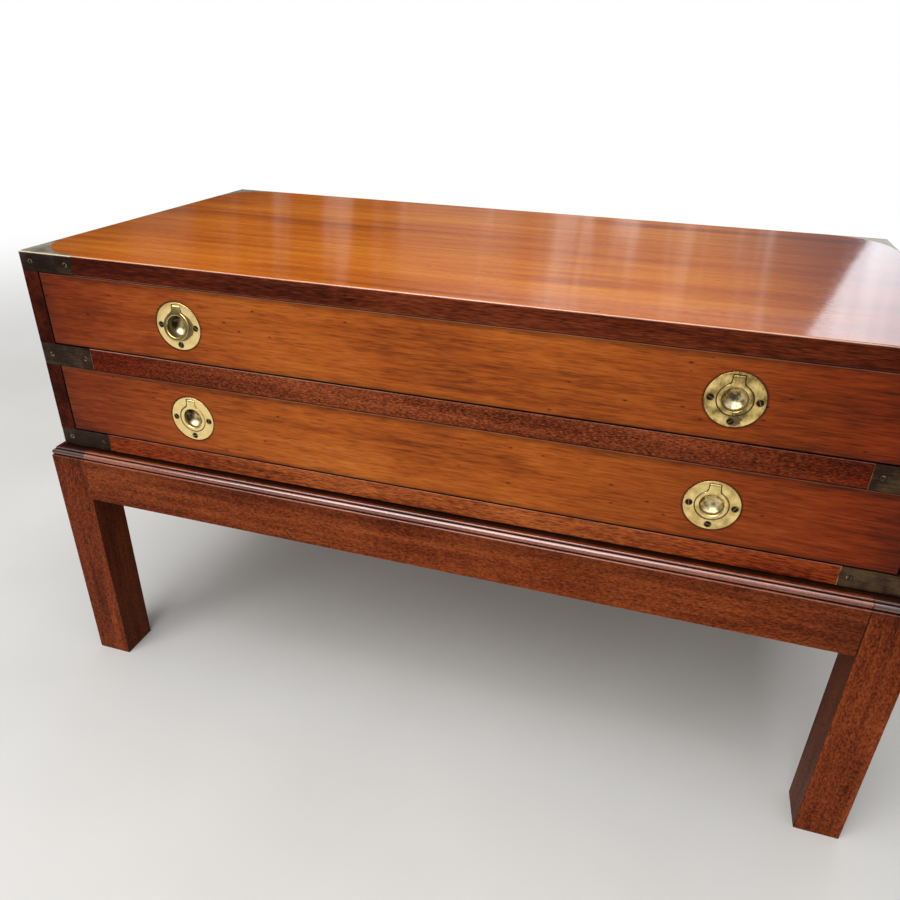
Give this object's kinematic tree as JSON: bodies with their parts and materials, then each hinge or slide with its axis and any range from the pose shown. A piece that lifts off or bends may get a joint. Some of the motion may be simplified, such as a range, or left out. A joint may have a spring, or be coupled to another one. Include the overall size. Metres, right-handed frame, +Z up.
{
  "type": "campaign chest on stand",
  "caption": "Low mahogany campaign chest with sliding dovetailed drawers, flush brass corners, straps and swinging ring pulls, on a bead-moulded square-legged stand.",
  "frame": {"origin": "middle of the floor under the stand, the bottom centre of the whole part", "axes": "+X along the drawer fronts to the viewer's right, +Y from front to back, +Z up"},
  "size_m": [0.94, 0.47, 0.54],
  "materials": {
    "stand_mahogany": "french-polished mahogany",
    "carcass_mahogany": "french-polished mahogany",
    "top_veneer": "glossy golden veneer",
    "drawer_veneer": "polished golden brown veneer",
    "drawer_lining": "bare planed wood",
    "inner_wood": "bare sawn wood",
    "back_board": "stained board",
    "aged_brass": "dull aged brass",
    "strap_screw_brass": "worn brass",
    "polished_brass": "polished brass with tarnish",
    "dark_steel": "dark oxidised screw heads"
  },
  "bodies": {
    "chest_and_stand": {"leg_front_left": "stand_mahogany", "leg_front_right": "stand_mahogany", "leg_back_left": "stand_mahogany", "leg_back_right": "stand_mahogany", "stand_front_rail": "stand_mahogany", "stand_back_rail": "stand_mahogany", "stand_left_rail": "stand_mahogany", "stand_right_rail": "stand_mahogany", "stand_fixing_blocks": "inner_wood", "stand_fixing_screws": "dark_steel", "top_core_board": "inner_wood", "top_edge_lippings": "carcass_mahogany", "top_veneer": "top_veneer", "side_panel_left": "carcass_mahogany", "side_panel_right": "carcass_mahogany", "mid_rail": "carcass_mahogany", "bottom_rail": "carcass_mahogany", "bottom_back_rail": "inner_wood", "upper_runners": "inner_wood", "lower_runners": "inner_wood", "dust_panel": "inner_wood", "bottom_panel": "inner_wood", "back_panel": "back_board", "back_panel_screws": "dark_steel", "drawer_stops": "inner_wood", "top_corner_front_left": "aged_brass", "top_corner_front_right": "aged_brass", "top_corner_back_left": "aged_brass", "top_corner_back_right": "aged_brass", "mid_strap_front_left": "aged_brass", "mid_strap_front_right": "aged_brass", "mid_strap_back_left": "aged_brass", "mid_strap_back_right": "aged_brass", "bottom_strap_front_left": "aged_brass", "bottom_strap_front_right": "aged_brass", "bottom_strap_back_left": "aged_brass", "bottom_strap_back_right": "aged_brass", "strap_screws": "strap_screw_brass"},
    "upper_drawer": {"upper_drawer_front": "drawer_veneer", "upper_drawer_left_side": "drawer_lining", "upper_drawer_right_side": "drawer_lining", "upper_drawer_back": "drawer_lining", "upper_drawer_bottom": "drawer_lining", "upper_left_pull_plate": "polished_brass", "upper_right_pull_plate": "polished_brass", "upper_pull_pins": "polished_brass", "upper_pull_screws": "dark_steel"},
    "upper_left_ring": {"upper_left_pull_ring": "polished_brass"},
    "upper_right_ring": {"upper_right_pull_ring": "polished_brass"},
    "lower_drawer": {"lower_drawer_front": "drawer_veneer", "lower_drawer_left_side": "drawer_lining", "lower_drawer_right_side": "drawer_lining", "lower_drawer_back": "drawer_lining", "lower_drawer_bottom": "drawer_lining", "lower_left_pull_plate": "polished_brass", "lower_right_pull_plate": "polished_brass", "lower_pull_pins": "polished_brass", "lower_pull_screws": "dark_steel"},
    "lower_left_ring": {"lower_left_pull_ring": "polished_brass"},
    "lower_right_ring": {"lower_right_pull_ring": "polished_brass"}
  },
  "joints": [
    {"name": "upper_drawer_slide", "type": "slide", "parent": "chest_and_stand", "child": "upper_drawer", "axis": [0, -1, 0], "range_m": [0, 0.3]},
    {"name": "lower_drawer_slide", "type": "slide", "parent": "chest_and_stand", "child": "lower_drawer", "axis": [0, -1, 0], "range_m": [0, 0.3]},
    {"name": "upper_left_ring_hinge", "type": "hinge", "parent": "upper_drawer", "child": "upper_left_ring", "pos_m": [-0.2725, -0.2202, 0.49865], "axis": [-1, 0, 0], "range_deg": [-12, 78]},
    {"name": "upper_right_ring_hinge", "type": "hinge", "parent": "upper_drawer", "child": "upper_right_ring", "pos_m": [0.2725, -0.2202, 0.49865], "axis": [-1, 0, 0], "range_deg": [0, 90]},
    {"name": "lower_left_ring_hinge", "type": "hinge", "parent": "lower_drawer", "child": "lower_left_ring", "pos_m": [-0.2725, -0.2202, 0.39315], "axis": [-1, 0, 0], "range_deg": [0, 90]},
    {"name": "lower_right_ring_hinge", "type": "hinge", "parent": "lower_drawer", "child": "lower_right_ring", "pos_m": [0.2725, -0.2202, 0.39315], "axis": [-1, 0, 0], "range_deg": [0, 90]}
  ]
}
